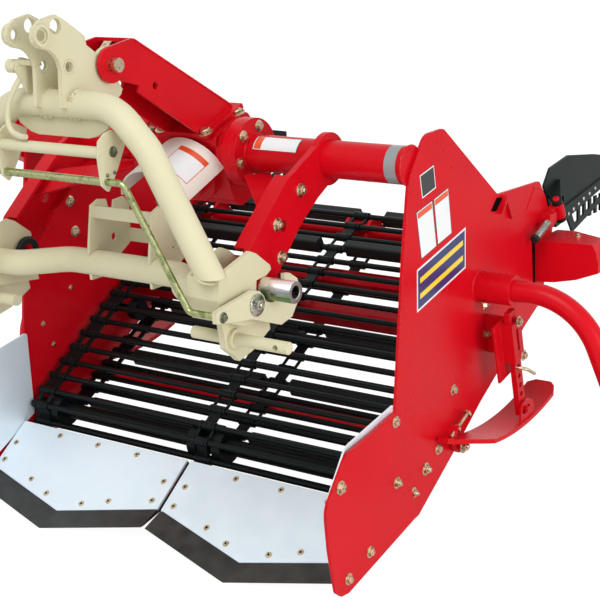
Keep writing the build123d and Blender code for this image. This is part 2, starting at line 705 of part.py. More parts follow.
BRACKET_X, BRACKET = 72.0, 6.0
BRACKET_SIDE = (
    (41, 572), (45, 600), (58, 670), (78, 678), (97, 675), (102, 654), (107, 641), (114, 646), (119, 669),
    (146, 671), (160, 654), (157, 600), (157, 582), (120, 560), (92, 530), (44, 530),
)
with BuildPart() as joint_bracket:
    for s in (-1, 1):
        with BuildSketch(side_plane(s * BRACKET_X)):
            Polygon(*BRACKET_SIDE, align=None)
            with Locations((60, 560)):
                Circle(COUPLER_R + SEAT, mode=Mode.SUBTRACT)
            with Locations((112, 600)):
                Circle(8, mode=Mode.SUBTRACT)
        extrude(amount=s * BRACKET)
    with BuildSketch(side_plane(-BRACKET_X)):
        Polygon((151, 583), (157, 583), (157, 608), (151, 608), align=None)
    extrude(amount=2 * BRACKET_X)
    with BuildSketch(side_plane(-BRACKET_X)):
        Polygon((60, 646), (66, 645), (69, 668), (63, 669), align=None)
    extrude(amount=2 * BRACKET_X)
save(joint_bracket, "joint_bracket")

# ------------------------------------------------------------------ skids, posts, legs, wings
SKID_IN, SKID_WIDE, SOLE = OUTER + 9.0, 70.0, 9.0
# distance out from the skid's inner edge, station
SKID_PLAN = ((0, 360), (20, 360), (42, 424), (70, 462), (70, 722), (62, 740), (48, 752), (18, 752), (0, 738))
LUG = 7.0
POST_IN, POST, POST_DEEP = OUTER + 57.0, 12.0, 26.0
POST_LONG = 234.0
POST_HOLES = (20, 41, 62, 83, 104, 125, 146, 167, 188)      # distance of each hole below the top
POST_HOLE_R = 5.5
FOOT_PIN = POST_LONG - 11.0
POST_GAP = 0.4          # play of the post in its guide, each side
GUIDE_WALL, GUIDE_TOP, GUIDE_LONG = 6.0, 24.0, 84.0
GUIDE_IN = OUTER + 43.0
post_dir = (sin(radians(POST_ANGLE)), -cos(radians(POST_ANGLE)))
FOOT_Z = 8.0
SOCKET = 78.0           # leg sleeve length
HINGE_ANGLE = 27.0
along = heading(HINGE_ANGLE)
up = (-along[1], along[0])
HINGE = (872.0, 558.0)  # wing hinge behind the side plate
HINGE_X = OUTER + 14
HINGE_R, HINGE_LONG = 7.0, 34.0
SPRING_UP = {"left": 56.0, "right": 0.0}    # the left spring rod clears the chain case
CONVERGE = 3.0          # degrees the wings close in to the rear
WING_IN, WING = OUTER - 14, 5.0
WING_SIDE = (
    (850, 612), (884, 645), (985, 656), (1140, 634), (1190, 624), (1194, 552), (974, 520), (904, 512), (868, 580),
)
WING_BEAM = ((904, 512), (974, 520), (1194, 552), (1194, 574), (890, 541))
WING_RAIL = ((1006, 480), (1190, 519), (1190, 531), (1020, 496), (1000, 526), (974, 522))
FINGERS = (1046, 1080, 1114, 1148, 1182)
KNUCKLE = ((-4, -9), (-24, 12), (-25.5, 70), (-20.5, 70), (9, 6))     # across, and along the web


def on_post(down):
    """Station and height of a point on the post's middle line, so far below its top."""
    return POST_TOP[0] + down * post_dir[0], POST_TOP[1] + down * post_dir[1]


def turned(plane, axis, angle):
    """The plane carried round an axis."""
    start = axis.position + (plane.origin - axis.position).rotate(axis, angle)
    return Plane(origin=start, x_dir=plane.x_dir.rotate(axis, angle), z_dir=plane.z_dir.rotate(axis, angle))


def hinge_plane(x):
    """Side plane turned so that local x runs up the web and local y square to it."""
    return Plane(origin=point(x, *HINGE), x_dir=(0, *along), z_dir=(1, 0, 0))


for side, s in SIDES:
    with BuildPart() as skid:
        with BuildSketch(side_plane(s * SKID_IN)):
            with BuildLine():
                ThreePointArc((362, 202), (548, 171.5), (752, 206))
                Line((752, 206), (750, 206 + SOLE))
                ThreePointArc((750, 206 + SOLE), (548, 171.5 + SOLE), (364, 202 + SOLE))
                Line((364, 202 + SOLE), (362, 202))
            make_face()
        extrude(amount=s * SKID_WIDE)
        with BuildSketch(Plane.XY):
            Polygon(*[(s * (SKID_IN + x), TIP_Y + y) for x, y in SKID_PLAN], align=None)
        extrude(amount=400, mode=Mode.INTERSECT)
        with BuildSketch(side_plane(s * SKID_IN)):
            Polygon((398, 197), (422, 163), (446, 163), (478, 184), align=None)
            with Locations(SKID_PIVOT):
                Circle(15)
                Circle(6 + RUNNING, mode=Mode.SUBTRACT)
        extrude(amount=s * LUG)
        with BuildSketch(side_plane(s * (POST_IN + POST + 2))):
            Polygon((578, 176), (640, 177), (632, 214), (618, 222), (590, 222), (580, 212), align=None)
            with Locations(on_post(FOOT_PIN)):
                SlotOverall(34, 17, mode=Mode.SUBTRACT)
        extrude(amount=s * 5)
    save(skid, f"skid_{side}")

    with BuildPart() as post:
        with BuildSketch(side_plane(s * POST_IN)):
            with Locations(Location((*on_post(POST_LONG / 2), 0), (0, 0, POST_ANGLE))):
                Rectangle(POST_DEEP, POST_LONG)
            with Locations(*[on_post(down) for down in POST_HOLES]):
                Circle(POST_HOLE_R, mode=Mode.SUBTRACT)
        extrude(amount=s * POST)
        with BuildSketch(side_plane(s * (POST_IN + POST))):
            with Locations(on_post(FOOT_PIN)):
                Circle(6)
        extrude(amount=s * 13)
    save(post, f"skid_post_{side}")

    with BuildPart() as leg:
        with BuildLine() as leg_line:
            FilletPolyline(
                point(s * (OUTER + 4), *LEG), point(s * LEG_BEND_X, *LEG), point(s * LEG_FOOT_X, LEG[0], LEG_LOW),
                point(s * LEG_FOOT_X, LEG[0], FOOT_Z), radius=[LEG_BEND, 110],
            )
        with BuildSketch(Plane(origin=leg_line.line @ 0, z_dir=leg_line.line % 0)):
            Circle(LEG_R)
            Circle(LEG_R - 3.5, mode=Mode.SUBTRACT)
        sweep(path=leg_line.line)
        with BuildSketch(Plane.XY):
            with Locations((s * LEG_FOOT_X, TIP_Y + LEG[0])):
                RectangleRounded(90, 100, 12)
        extrude(amount=FOOT_Z)
    save(leg, f"leg_{side}")

    with BuildPart() as fittings:
        with BuildSketch(side_plane(s * OUTER)):
            with Locations(LEG):
                Circle(LEG_R + 9)
                Circle(LEG_R + RUNNING, mode=Mode.SUBTRACT)
        extrude(amount=s * SOCKET)
        with BuildSketch(side_plane(s * OUTER)):
            with Locations(SKID_PIVOT):
                Circle(14)
        extrude(amount=s * (SKID_IN - 0.5 - OUTER))
        with BuildSketch(side_plane(s * OUTER)):
            with Locations(SKID_PIVOT):
                Circle(6)
        extrude(amount=s * (SKID_IN + LUG + 9 - OUTER))
        with BuildSketch(side_plane(s * (SKID_IN + LUG + 0.5))):
            with Locations(SKID_PIVOT):
                Circle(9)
        extrude(amount=s * 8)
        middle = Location((*on_post(GUIDE_TOP + GUIDE_LONG / 2), 0), (0, 0, POST_ANGLE))
        with BuildSketch(side_plane(s * GUIDE_IN)):
            with Locations(middle):
                Rectangle(POST_DEEP + 2 * GUIDE_WALL, GUIDE_LONG)
        extrude(amount=s * (POST_IN + POST + GUIDE_WALL - GUIDE_IN))
        with BuildSketch(side_plane(s * GUIDE_IN)):
            with Locations(middle):
                with Locations((-8, -16)):
                    Rectangle(POST_DEEP + 44, GUIDE_LONG + 40)
        extrude(amount=s * 5)
        with BuildSketch(side_plane(s * OUTER)):
            with Locations(middle):
                with Locations((POST_DEEP / 2, 0)):
                    Rectangle(8, GUIDE_LONG)
        extrude(amount=s * (GUIDE_IN - OUTER))
        with BuildSketch(side_plane(s * (POST_IN - POST_GAP))):
            with Locations(middle):
                Rectangle(POST_DEEP + 2 * POST_GAP, GUIDE_LONG + 2)
        extrude(amount=s * (POST + 2 * POST_GAP), mode=Mode.SUBTRACT)
        with BuildSketch(side_plane(s * (POST_IN + POST))):
            with Locations(middle):
                with Locations((0, 4)):
                    SlotOverall(GUIDE_LONG - 34, 9, rotation=90)
        extrude(amount=s * 20, mode=Mode.SUBTRACT)
        with BuildSketch(hinge_plane(s * OUTER)):
            Polygon((-48, -HINGE_LONG / 2), (0, -HINGE_LONG / 2), (0, HINGE_LONG / 2),
                    (-40, HINGE_LONG / 2), (-66, 8), (-66, -4), align=None)
        extrude(amount=s * (HINGE_X - OUTER))
        with BuildSketch(Plane(origin=point(s * HINGE_X, *HINGE), x_dir=(1, 0, 0), z_dir=(0, *up))):
            Circle(HINGE_R + 6)
        extrude(amount=HINGE_LONG / 2, both=True)
        with BuildSketch(Plane(origin=point(s * HINGE_X, *HINGE), x_dir=(1, 0, 0), z_dir=(0, *up))):
            Circle(HINGE_R)
        extrude(amount=HINGE_LONG / 2 + 14, both=True)
        lift = SPRING_UP[side]
        with BuildSketch(side_plane(s * OUTER)):
            Polygon((803, 536 + lift), (832, 549 + lift), (832, 562 + lift), (803, 562 + lift), align=None)
        extrude(amount=s * 28)
        rod(point(s * (OUTER + 20), 816, 548 + lift), point(s * (OUTER + 20), 744, 519 + lift), 4.5)
    save(fittings, f"side_fittings_{side}")

    hinge = Axis(point(s * HINGE_X, *HINGE), (0, *up))
    with BuildPart() as wing:
        with BuildSketch(turned(side_plane(s * WING_IN), hinge, s * CONVERGE)) as panel:
            Polygon(*WING_SIDE, align=None)
            Polygon(*WING_RAIL, align=None)
            for station in FINGERS:
                with Locations((station, 516)):
                    Rectangle(13, 40)
        extrude(amount=s * WING)
        with BuildSketch(turned(side_plane(s * (WING_IN + WING)), hinge, s * CONVERGE)):
            Polygon(*WING_BEAM, align=None)
        extrude(amount=s * 4)
        for end in (-1, 1):
            start = Plane(origin=hinge.position, x_dir=(1, 0, 0), z_dir=hinge.direction)
            with BuildSketch(start.offset(end * (HINGE_LONG / 2 + 6) - 4)) as knuckle:
                with BuildLine():
                    Polyline(*[(s * x, y) for x, y in KNUCKLE], close=True)
                make_face()
                Circle(HINGE_R + 5)
                Circle(HINGE_R + RUNNING, mode=Mode.SUBTRACT)
            extrude(amount=8)
    save(wing, f"wing_{side}")
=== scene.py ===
"""A one-row potato digger with its quick coupler: finishes, bolts, welds, springs and studio.

Stations run rearward from the share tips, and heights run up from the ground, both in mm.
"""

import bpy
import bmesh
import math
import random
from mathutils import Matrix, Vector


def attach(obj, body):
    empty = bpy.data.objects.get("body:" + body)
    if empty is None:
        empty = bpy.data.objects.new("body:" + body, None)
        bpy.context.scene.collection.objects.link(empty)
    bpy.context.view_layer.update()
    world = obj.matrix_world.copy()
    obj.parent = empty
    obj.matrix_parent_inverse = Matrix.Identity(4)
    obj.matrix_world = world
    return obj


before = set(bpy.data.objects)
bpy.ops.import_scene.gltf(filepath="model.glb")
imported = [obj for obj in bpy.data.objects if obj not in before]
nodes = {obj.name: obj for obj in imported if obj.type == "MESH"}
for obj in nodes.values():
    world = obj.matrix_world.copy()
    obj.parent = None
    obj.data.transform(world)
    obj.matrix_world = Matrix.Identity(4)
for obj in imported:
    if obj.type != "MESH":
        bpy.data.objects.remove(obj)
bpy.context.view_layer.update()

# Side plates: the machine's two walls, cut from 6 mm steel sheet and sprayed with glossy red
# alkyd enamel. The paint has a fine orange peel and lies thinner along the cut edges, where a
# paler red is laid in patches, partly as rubbed paint and partly as a painted edge highlight.


def linear(colour):
    """An sRGB hex colour as the linear values that a node takes."""
    parts = [int(colour[i:i + 2], 16) / 255 for i in (1, 3, 5)]
    return [c / 12.92 if c <= 0.04045 else ((c + 0.055) / 1.055) ** 2.4 for c in parts] + [1.0]


def put(tree, kind, socket_shade=None, **settings):
    """Adds a node, sets its settings and sockets, and links a socket given another's output."""
    made = tree.nodes.new("ShaderNode" + kind)
    for name, value in settings.items():
        setattr(made, name, value)
    for name, value in (socket_shade or {}).items():
        if isinstance(value, bpy.types.NodeSocket):
            tree.links.new(value, made.inputs[name])
        else:
            made.inputs[name].default_value = value
    return made.outputs


def blank_material(name):
    """A new material's node tree, emptied, and the place on the piece as its coordinates."""
    made = bpy.data.materials.new(name)
    made.use_nodes = True
    made.node_tree.nodes.clear()
    return made, made.node_tree, put(made.node_tree, "TexCoord")["Object"]


def per_metre(millimetres):
    """Scale of a pattern whose features are so many mm apart."""
    return 1000.0 / millimetres


def enamel(name, colour, shaded, thin_and_highlit, gloss=0.24):
    """Sprayed alkyd enamel: orange peel 3 mm apart, cloudy sheen, and patches of edge colour for rubbed
    paint and, where paler, a painted edge highlight.
    """
    made, tree, where = blank_material(name)
    peel = put(tree, "TexNoise", {"Vector": where, "Scale": per_metre(3.0), "Detail": 1.0})[0]
    cloud = put(tree, "TexNoise", {"Vector": where, "Scale": per_metre(110), "Detail": 3.0})[0]
    specks = put(tree, "TexNoise", {"Vector": where, "Scale": per_metre(7), "Detail": 4.0})[0]
    round_edge = put(tree, "Bevel", {"Radius": 0.0014}, samples=4)[0]
    flat = put(tree, "NewGeometry")["Normal"]
    facing = put(tree, "VectorMath", {0: round_edge, 1: flat}, operation="DOT_PRODUCT")["Value"]
    edge = put(tree, "MapRange", {"Value": facing, "From Min": 0.995, "From Max": 0.86})[0]
    chips = put(tree, "MapRange", {"Value": specks, "From Min": 0.42, "From Max": 0.66})[0]
    wear_and_highlight = put(tree, "Math", {0: edge, 1: chips}, operation="MULTIPLY")[0]
    tone = put(tree, "Mix", {0: cloud, 6: linear(shaded), 7: linear(colour)}, data_type="RGBA")[2]
    # The edge colour laid in patches along the edges: rubbed paint, and for the paler edge colours also
    # a painted edge highlight.
    worn_and_highlit = put(tree, "Mix", {0: wear_and_highlight, 6: tone, 7: linear(thin_and_highlit)}, data_type="RGBA")[2]
    rough = put(tree, "MapRange", {"Value": cloud, "From Min": 0.3, "From Max": 0.7,
                                   "To Min": gloss, "To Max": gloss + 0.12})[0]
    relief = put(tree, "Bump", {"Height": peel, "Strength": 0.10, "Distance": 0.0003,
                                "Normal": round_edge})[0]
    shader = put(tree, "BsdfPrincipled", {"Base Color": worn_and_highlit, "Roughness": rough,
                                          "IOR": 1.24, "Normal": relief})
    put(tree, "OutputMaterial", {"Surface": shader[0]})
    return made


def dress(finish, *names):
    """Gives CAD nodes their finish."""
    for name in names:
        for each in nodes[name].material_slots:
            each.material = finish


# The pale red edge colour is rubbed paint and also a painted edge highlight.
RED = enamel("red_alkyd_enamel", "#D60C1C", "#C4081A", "#E4554E")
dress(RED, "side_plate_left", "side_plate_right", "front_plates", "share_beam", "crossbars",
      "rear_shaft")


WALL = 481.0        # the walls' outer faces, in mm from the middle plane


def spot(x, station, height):
    """A point given in mm, in the model's metres. The share tips are 520 mm ahead of its middle."""
    return Vector((x, station - 520, height)) / 1000


def turn(mesh, at, axis, profile, sides=24, hollow=False):
    """Turns a profile of radius and distance along the axis, both in mm, round an axis."""
    axis = Vector(axis).normalized()
    across = axis.orthogonal().normalized()
    other = axis.cross(across)
    rings = []
    for radius, along in profile:
        rings.append([])
        for i in range(sides):
            a = math.tau * i / sides
            out = (across * math.cos(a) + other * math.sin(a)) * radius
            rings[-1].append(mesh.verts.new(at + (axis * along + out) / 1000))
    if not hollow:
        mesh.faces.new(rings[0][::-1])
        mesh.faces.new(rings[-1])
    for low, high in zip(rings, rings[1:] + (rings[:1] if hollow else [])):
        for i in range(sides):
            j = (i + 1) % sides
            mesh.faces.new((low[i], low[j], high[j], high[i]))


def finish_piece(name, mesh, material, body="frame", crease=32):
    """Makes a mesh a piece: smooth but for its creases, riding on a body, with its finish."""
    bmesh.ops.recalc_face_normals(mesh, faces=mesh.faces[:])
    data = bpy.data.meshes.new(name)
    mesh.to_mesh(data)
    mesh.free()
    data.shade_smooth()
    data.set_sharp_from_angle(angle=math.radians(crease))
    data.materials.append(material)
    made = bpy.data.objects.new(name, data)
    bpy.context.scene.collection.objects.link(made)
    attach(made, body)


# Frame bolts: M8 hexagon bolts and flange nuts with plain washers, zinc plated and yellow
# passivated. The passivation shows as a patchy straw yellow with a green or pink cast.


def plated(name, colours, rough, cast=22, painted_top_light=False):
    """Electroplated steel: a patchy film over a fine grain; where asked, painted light turns upward
    faces towards the last colour and downward faces towards the first.
    """
    made, tree, where = blank_material(name)
    film = put(tree, "TexNoise", {"Vector": where, "Scale": per_metre(cast), "Detail": 2.0})[0]
    # Painted light: upward faces lean to the last colour and downward faces to the first, so tops look
    # lit and undersides shaded.
    if painted_top_light:
        flat = put(tree, "NewGeometry")["Normal"]
        rise = put(tree, "SeparateXYZ", {0: flat})["Z"]
        top_light_share = put(tree, "MapRange", {"Value": rise, "From Min": -0.7, "From Max": 0.9,
                                      "To Min": 0.2, "To Max": 0.8})[0]
        film = put(tree, "Mix", {0: 0.3, 2: top_light_share, 3: film})[0]
    ramp = tree.nodes.new("ShaderNodeValToRGB")
    tree.links.new(film, ramp.inputs[0])
    ramp.color_ramp.elements[0].position = 0.34
    ramp.color_ramp.elements[0].color = linear(colours[0])
    ramp.color_ramp.elements[1].position = 0.68
    ramp.color_ramp.elements[1].color = linear(colours[2])
    ramp.color_ramp.elements.new(0.5).color = linear(colours[1])
    scratch = put(tree, "TexNoise", {"Vector": where, "Scale": per_metre(1.2), "Detail": 2.0})[0]
    dull = put(tree, "MapRange", {"Value": film, "From Min": 0.3, "From Max": 0.7,
                                  "To Min": rough - 0.06, "To Max": rough + 0.1})[0]
    relief = put(tree, "Bump", {"Height": scratch, "Strength": 0.15, "Distance": 0.0001})[0]
    shader = put(tree, "BsdfPrincipled", {"Base Color": ramp.outputs[0], "Metallic": 1.0,
                                          "Roughness": dull, "Normal": relief})
    put(tree, "OutputMaterial", {"Surface": shader[0]})
    return made


YELLOW_ZINC = plated("yellow_passivated_zinc", ("#8F7A58", "#DCCDB0", "#B7A78F"), 0.3, cast=7)


def bolt(mesh, at, axis, across=13.0, stud=0.0):
    """A hexagon head on its washer, or a nut where a threaded end stands out of it."""
    axis = Vector(axis).normalized()
    corner = across / math.sqrt(3)
    high = across * 0.42
    turn(mesh, at, axis, ((across * 0.86, 0), (across * 0.86, 1.1), (across * 0.8, 1.5)))
    turn(mesh, at + axis * 0.0015, axis,
         ((corner * 0.97, 0), (corner, 0.3), (corner, high * 0.82), (corner * 0.88, high)), 6)
    if stud:
        radius = across * 0.31
        profile = [(radius, high - 1)]
        for i in range(int(stud / 1.25)):
            profile += [(radius, high + 0.3 + 1.25 * i), (radius * 0.86, high + 0.9 + 1.25 * i)]
        turn(mesh, at + axis * 0.0015, axis, profile, 12)


def on_surface(names, start, way):
    """Where a ray from a point first meets these CAD nodes, and that face's direction."""
    best = None
    for name in names:
        hit, place, facing, _ = nodes[name].ray_cast(start, Vector(way))
        if hit and (best is None or (place - start).length < (best[0] - start).length):
            best = (place, facing)
    return best


# station, height, width across flats, threaded end
FRAME_BOLTS = (
    (33, 230, 15, 0), (119, 73, 13, 0), (48, 50, 13, 0), (215, 172, 13, 5), (215, 291, 13, 0),
    (282, 125, 13, 5), (328, 157, 15, 6), (376, 181, 13, 0), (459, 161, 13, 5), (437, 283, 13, 0),
    (575, 360, 13, 6),
)
INNER_NUTS = (
    (398, 579, 15, 6), (407, 508, 15, 6), (378, 384, 7, 0), (285, 324, 7, 0), (311, 269, 7, 0),
)
for side, s in (("left", -1), ("right", 1)):
    bolts = bmesh.new()
    for station, height, across, stud in FRAME_BOLTS:
        seat = on_surface((f"side_plate_{side}", "front_plates"),
                          spot(s * 600, station, height), (-s, 0, 0))
        if seat:
            bolt(bolts, seat[0], (s, 0, 0), across, stud)
    for station, height, across, stud in INNER_NUTS:
        seat = on_surface((f"side_plate_{side}",), spot(s * 380, station, height), (s, 0, 0))
        if seat:
            bolt(bolts, seat[0], (-s, 0, 0), across, stud)
    finish_piece(f"frame_bolts_{side}", bolts, YELLOW_ZINC)

# Share blades: forged boron steel points, hardened, with dark mill scale rubbed bright on the
# cutting edges. Their covers are smooth sheet that sheds soil, bolted on through the beam.


def mill_steel(name, colours, rough, metallic=0.9, grit=2.0, height=0.0003, ior=1.5):
    """Hot-formed steel: blue-grey scale in clouds, finely pitted. Its two colours also serve for the
    covers' painted sky reflection and for black painted shade.
    """
    made, tree, where = blank_material(name)
    scale = put(tree, "TexNoise", {"Vector": where, "Scale": per_metre(40), "Detail": 5.0})[0]
    pits = put(tree, "TexNoise", {"Vector": where, "Scale": per_metre(grit), "Detail": 3.0})[0]
    tone = put(tree, "Mix", {0: scale, 6: linear(colours[0]), 7: linear(colours[1])},
               data_type="RGBA")[2]
    dull = put(tree, "MapRange", {"Value": scale, "From Min": 0.3, "From Max": 0.7,
                                  "To Min": rough - 0.08, "To Max": rough + 0.1})[0]
    edge = put(tree, "Bevel", {"Radius": 0.001}, samples=4)[0]
    relief = put(tree, "Bump", {"Height": pits, "Strength": 0.25, "Distance": height,
                                "Normal": edge})[0]
    shader = put(tree, "BsdfPrincipled", {"Base Color": tone, "Metallic": metallic, "IOR": ior,
                                          "Roughness": dull, "Normal": relief})
    put(tree, "OutputMaterial", {"Surface": shader[0]})
    return made


DARK_STEEL = mill_steel("scaled_boron_steel", ("#2C3032", "#5E605C"), 0.42)
# Painted shade: near-black and almost unreflecting, laid in each socket and slot where shade falls.
PAINTED_SHADE = mill_steel("painted_shade_black", ("#0C0809", "#120C0D"), 0.8, metallic=0.0, ior=1.05)
dress(DARK_STEEL, "share_blade_left", "share_blade_right")
# Share covers and wear plates: polished steel sheet given a pale blue-white base colour and little metal
# sheen, a painted reflection of the sky, so that it looks pale from every side.
SKY_PAINTED_SHEET = mill_steel("steel_sheet_painted_sky_reflection", ("#E2F3FF", "#EDF8FF"), 0.36,
                         metallic=0.22, grit=1.0, height=0.00004)
dress(SKY_PAINTED_SHEET, "share_cover_left", "share_cover_right", "wear_plates")

# distance from the middle plane, station
SHARE_BOLTS = (
    (28, 151), (28, 113), (130, 187), (240, 187), (350, 187), (452, 154), (452, 117), (128, 92),
    (188, 75), (289, 76), (350, 94),
)
for side, s in (("left", -1), ("right", 1)):
    bolts = bmesh.new()
    socket_shade = bmesh.new()
    for x, station in SHARE_BOLTS:
        seat = on_surface((f"share_cover_{side}",), spot(s * x, station, 400), (0, 0, -1))
        if seat:
            turn(bolts, seat[0], seat[1], ((6.6, 0), (6.6, 0.6), (5.8, 1.4), (2.6, 1.4), (2.4, 0.2)))
            # A black hex disc in each bolt's socket is painted shade in its recess.
            turn(socket_shade, seat[0], seat[1], ((2.7, 1.2), (2.7, 1.5)), 6)
    finish_piece(f"share_bolts_{side}", bolts, YELLOW_ZINC)
    finish_piece(f"share_bolt_socket_shade_{side}", socket_shade, PAINTED_SHADE)

# Cross tube and gearbox: a tube flanged to a cast iron bevel gearbox, all sprayed red. Six
# bolts hold each flange, the arm's foot is bolted on top, and a plug closes the filler hole.
dress(RED, "cross_tubes", "gearbox")
TUBE_STATION, TUBE_HEIGHT = 302, 745
FLANGE_BOLTS_R = 51
ARM_RISE, ARM_DROP = (0, -0.371, 0.928), (0, -0.371, -0.928)      # square to the arm, and down to it
bolts = bmesh.new()
for s in (-1, 1):
    for k in range(6):
        a = math.tau * (k + 0.25) / 6
        place = (TUBE_STATION + FLANGE_BOLTS_R * math.cos(a), TUBE_HEIGHT + FLANGE_BOLTS_R * math.sin(a))
        bolt(bolts, spot(s * 130, *place), (s, 0, 0), 13)
        bolt(bolts, spot(s * 100, *place), (-s, 0, 0), 13, 4)
    for x, station, height in ((62, 344, 825), (54, 264, 792)):
        seat = on_surface(("upper_arm", "gearbox"), spot(s * x, station + 70, 1000), ARM_DROP)
        if seat:
            bolt(bolts, seat[0], ARM_RISE, 17)
finish_piece("gearbox_bolts", bolts, YELLOW_ZINC)

# Input shaft and guard: a six-spline shaft of bright turned steel, under a guard moulded in
# cream polyethylene, which is tougher and duller than paint and shows a fine moulded grain.
TURNED_STEEL = plated("bright_turned_steel", ("#8D9092", "#A9ABAC", "#969899"), 0.28, cast=30)
dress(TURNED_STEEL, "pto_shaft")


def moulded(name, colours, rough):
    """Injection-moulded polyethylene: an even colour with a fine spark-eroded grain."""
    made, tree, where = blank_material(name)
    grain = put(tree, "TexNoise", {"Vector": where, "Scale": per_metre(1.5), "Detail": 2.0})[0]
    cloud = put(tree, "TexNoise", {"Vector": where, "Scale": per_metre(60), "Detail": 2.0})[0]
    tone = put(tree, "Mix", {0: cloud, 6: linear(colours[0]), 7: linear(colours[1])},
               data_type="RGBA")[2]
    relief = put(tree, "Bump", {"Height": grain, "Strength": 0.2, "Distance": 0.0002})[0]
    shader = put(tree, "BsdfPrincipled", {"Base Color": tone, "Roughness": rough, "IOR": 1.5,
                                          "Normal": relief})
    put(tree, "OutputMaterial", {"Surface": shader[0]})
    return made


CREAM_PLASTIC = moulded("cream_polyethylene", ("#EDE7DA", "#F5F1E8"), 0.42)
dress(CREAM_PLASTIC, "pto_guard")

# Upper arm: two bent plates and a cover plate, welded and sprayed red, with a plated hitch
# pin kept in by linchpins. The welds show as rippled beads along the plates' edges.
dress(RED, "upper_arm")
dress(YELLOW_ZINC, "top_pin")


def wire(mesh, points, radius, sides=10, closed=False, ripple=0.0):
    """Round wire or a weld bead along points: the ripple makes every second ring smaller."""
    rings = []
    side = None
    for i, point in enumerate(points):
        before = points[i - 1] if i or closed else point
        after = points[(i + 1) % len(points)] if i < len(points) - 1 or closed else point
        along = (after - before).normalized()
        side = along.orthogonal() if side is None else side - along * side.dot(along)
        side.normalize()
        other = along.cross(side)
        size = radius * (1 - ripple * (i % 2)) / 1000
        rings.append([])
        for k in range(sides):
            a = math.tau * k / sides
            rings[-1].append(mesh.verts.new(point + (side * math.cos(a) + other * math.sin(a)) * size))
    pairs = list(zip(rings, rings[1:])) + ([(rings[-1], rings[0])] if closed else [])
    for low, high in pairs:
        for k in range(sides):
            j = (k + 1) % sides
            mesh.faces.new((low[k], low[j], high[j], high[k]))
    if not closed:
        mesh.faces.new(rings[0][::-1])
        mesh.faces.new(rings[-1])


def weld(mesh, corners, radius=2.6, closed=False):
    """A weld bead along a line of points, with a ripple every 2 mm."""
    ends = corners[1:] + corners[:1] if closed else corners[1:]
    points = []
    for a, b in zip(corners, ends):
        count = max(1, round((b - a).length / 0.002))
        points += [a.lerp(b, i / count) for i in range(count)]
    if not closed:
        points.append(corners[-1])
    wire(mesh, points, radius, 8, closed, 0.2)


def ring_points(centre, axis, radius, count=48):
    """Points round a circle of a radius in mm."""
    axis = Vector(axis).normalized()
    across = axis.orthogonal().normalized()
    other = axis.cross(across)
    return [centre + (across * math.cos(math.tau * i / count)
                      + other * math.sin(math.tau * i / count)) * radius / 1000
            for i in range(count)]


welds = bmesh.new()
for s in (-1, 1):
    weld(welds, [spot(s * 44.6, 78, 975), spot(s * 44.6, 340, 827)])
    for x in (474.6, 130.4):
        tube_end = spot(s * x, TUBE_STATION, TUBE_HEIGHT)
        weld(welds, ring_points(tube_end, (1, 0, 0), 35.8), closed=True)
    weld(welds, ring_points(spot(s * (WALL + 0.6), 546, 466), (1, 0, 0), 31), closed=True)
    weld(welds, [spot(s * (WALL + 0.5), *p) for p in ((749, 582), (785, 622), (818, 612))], 1.6)
    for station, height in ((389, 775), (412, 755), (439, 720)):
        turn(welds, spot(s * (WALL - 0.5), station, height), (s, 0, 0),
             ((2.6, 0), (2.4, 1.2), (1.2, 2)), 10)
    turn(welds, spot(s * 470, TUBE_STATION, TUBE_HEIGHT), (s, 0, 0),
         ((30.2, 0), (30.2, 3.5), (29, 4.6)), 40)
finish_piece("frame_welds", welds, RED)

# Hitch struts: red plates with turned edges that reach from the cross tube to the hollow lower
# pins, with a bolted-on brace. The bolt heads stand on the plates' outer faces.
dress(RED, "hitch_strut_left", "hitch_strut_right")
bolts = bmesh.new()
for s in (-1, 1):
    for station, height in ((206, 704), (132, 655), (140, 594)):
        seat = on_surface((f"hitch_strut_{'right' if s > 0 else 'left'}",),
                          spot(s * 420, station, height), (-s, 0, 0))
        if seat:
            bolt(bolts, seat[0], (s, 0, 0), 15, 4)
finish_piece("strut_bolts", bolts, YELLOW_ZINC)

# Hitch pin sleeves: drawn steel tube pressed over each hollow lower pin, yellow passivated in
# patches of straw, green and violet, with a black seal ring at its inner end. Painted light
# makes their tops paler and their undersides greener.
# The sleeves' tops are painted pale and their undersides green, as painted light over the passivation's
# patches.
RAINBOW_ZINC_TOP_LIT = plated("rainbow_zinc_painted_top_light", ("#6F8A4E", "#9BA0A6", "#E2D2CC"), 0.22, cast=18,
                      painted_top_light=True)
PIN_STATION, PIN_HEIGHT = 54, 562
# parts round each pin: distance from the middle plane, sides, profile
SLEEVE = (327, 48, ((11.2, 0), (19.6, 0), (19.6, 65.8), (19.1, 66.6), (12.2, 66.6), (11.2, 65.6)))
SEAL = (245, 40, ((17, 0), (27, 0), (29, 2), (29, 6), (17, 6)))
WASHER = (251.2, 40, ((18, 0), (31, 0), (31, 2.4), (18, 2.4)))
sleeves = bmesh.new()
seals = bmesh.new()
for s in (-1, 1):
    for mesh, (x, sides, profile) in ((sleeves, SLEEVE), (seals, SEAL), (sleeves, WASHER)):
        turn(mesh, spot(s * x, PIN_STATION, PIN_HEIGHT), (s, 0, 0), profile, sides, True)
finish_piece("hitch_pin_sleeves", sleeves, RAINBOW_ZINC_TOP_LIT)

# Digging web: round bars of spring steel, riveted to rows of links, dipped in black paint that
# looks slightly green. Every fourth bar carries a ribbed flight of black rubber.
# The lighter edge colour is rubbed paint and also a painted edge highlight.
BLACK_DIP = enamel("black_dipping_paint", "#121A1A", "#0A1010", "#344040", gloss=0.3)
dress(BLACK_DIP, "web_bars", "web_links", "web_rollers")


